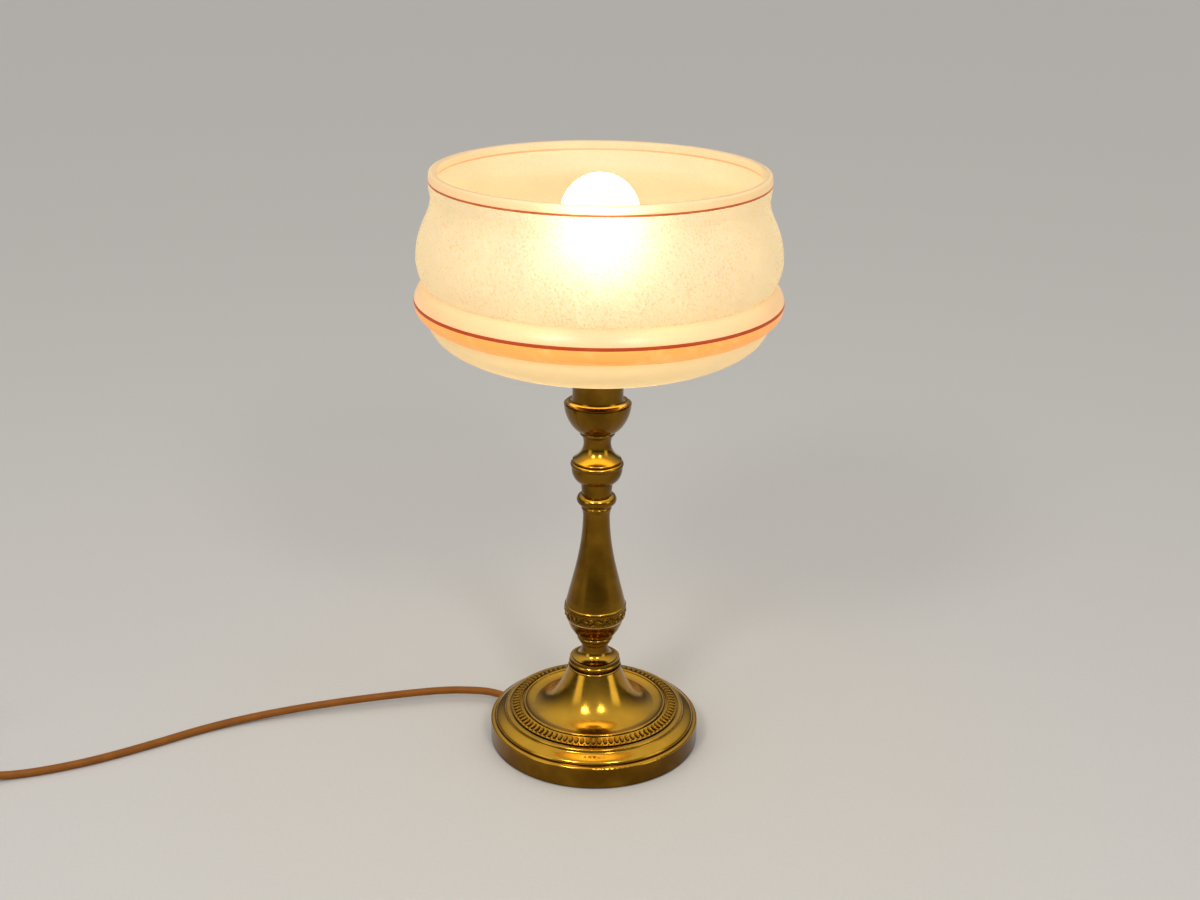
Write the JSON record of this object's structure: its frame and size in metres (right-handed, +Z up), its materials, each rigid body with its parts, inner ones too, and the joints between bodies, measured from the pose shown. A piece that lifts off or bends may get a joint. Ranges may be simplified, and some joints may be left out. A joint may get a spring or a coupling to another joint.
{
  "type": "candlestick table lamp",
  "caption": "Table lamp on a turned brass candlestick stem, with a bowl-shaped frosted glass shade open at the top, a bulb, and a flex with inline switch and plug.",
  "frame": {"origin": "centre of the foot's underside, on the table", "axes": "+Z up along the stem, -Y towards the viewer, -X towards the side where the flex leaves"},
  "size_m": [0.8223, 0.284, 0.4826],
  "materials": {
    "polished_brass": "turned and polished, aged lacquer",
    "plain_brass": "turned, unpolished",
    "lampholder_shell": "rolled thread, satin",
    "screw_shell": "pressed, tinned",
    "zinc_steel": "zinc plated",
    "ballast_iron": "cast, painted black",
    "green_felt": "pressed wool felt",
    "shade_felt": "pressed wool felt",
    "shade_glass": "pressed opal glass, frosted, with painted lines",
    "porcelain": "glazed",
    "bulb_opal": "opal coating inside",
    "bulb_cap_metal": "pressed, nickel plated",
    "bulb_solder": "soft solder",
    "bulb_black_glass": "vitrite",
    "clear_glass": "drawn",
    "tungsten": "wound wire",
    "brown_flex": "smooth round sheath",
    "bushing_rubber": "moulded",
    "core_blue_brown": "extruded",
    "core_green_yellow": "extruded",
    "switch_plastic": "moulded",
    "plug_plastic": "moulded",
    "nickel_brass": "nickel plated"
  },
  "bodies": {
    "lamp": {"base_foot": "polished_brass", "lower_neck": "polished_brass", "stem_bowl": "polished_brass", "baluster": "polished_brass", "bead_ring": "polished_brass", "knop": "polished_brass", "upper_neck": "polished_brass", "cup": "polished_brass", "candle_sleeve": "polished_brass", "shade_carrier": "polished_brass", "shade_ring": "plain_brass", "holder_contact": "plain_brass", "terminal_blocks": "plain_brass", "terminal_screws": "plain_brass", "switch_terminals": "plain_brass", "holder_cap": "lampholder_shell", "holder_mantle": "lampholder_shell", "holder_screw_shell": "screw_shell", "clamp_disc": "zinc_steel", "lock_washer": "zinc_steel", "earth_tag": "zinc_steel", "rod_nut": "zinc_steel", "threaded_rod": "zinc_steel", "stem_washer": "zinc_steel", "stem_nut": "zinc_steel", "switch_pin": "zinc_steel", "switch_screws": "zinc_steel", "ballast_ring": "ballast_iron", "felt_pad": "green_felt", "carrier_cushion": "shade_felt", "ring_cushion": "shade_felt", "glass_shade": "shade_glass", "holder_core": "porcelain", "cord_inlet": "brown_flex", "cord_lead": "brown_flex", "cord_coil": "brown_flex", "cord_link": "brown_flex", "cord_tail": "brown_flex", "cord_bushing": "bushing_rubber", "supply_cores": "core_blue_brown", "earth_core": "core_green_yellow", "switch_base": "switch_plastic", "switch_cover": "switch_plastic", "coil_tie": "switch_plastic", "plug_body": "plug_plastic", "plug_pins": "nickel_brass", "plug_clips": "nickel_brass"},
    "bulb_tip": {"bulb_contact": "bulb_solder"},
    "bulb": {"bulb_glass": "bulb_opal", "bulb_cap": "bulb_cap_metal", "bulb_insulator": "bulb_black_glass", "bulb_stem": "clear_glass", "bulb_filament": "tungsten"},
    "switch_rocker": {"switch_rocker": "switch_plastic"}
  },
  "joints": [
    {"name": "bulb_rise", "type": "slide", "parent": "lamp", "child": "bulb_tip", "axis": [0, 0, 1], "range_m": [0, 0.01448]},
    {"name": "bulb_turn", "type": "hinge", "parent": "bulb_tip", "child": "bulb", "pos_m": [0, 0, 0.375], "axis": [0, 0, 1], "range_deg": [0, 1440]},
    {"name": "switch_rock", "type": "hinge", "parent": "lamp", "child": "switch_rocker", "pos_m": [-0.54062, -0.1042, 0.0156], "axis": [0.2756, -0.9613, 0], "range_deg": [0, 14]}
  ],
  "couplings": [
    {"joint": "bulb_rise", "follows": "bulb_turn", "m_per_rad": 0.00057614}
  ]
}
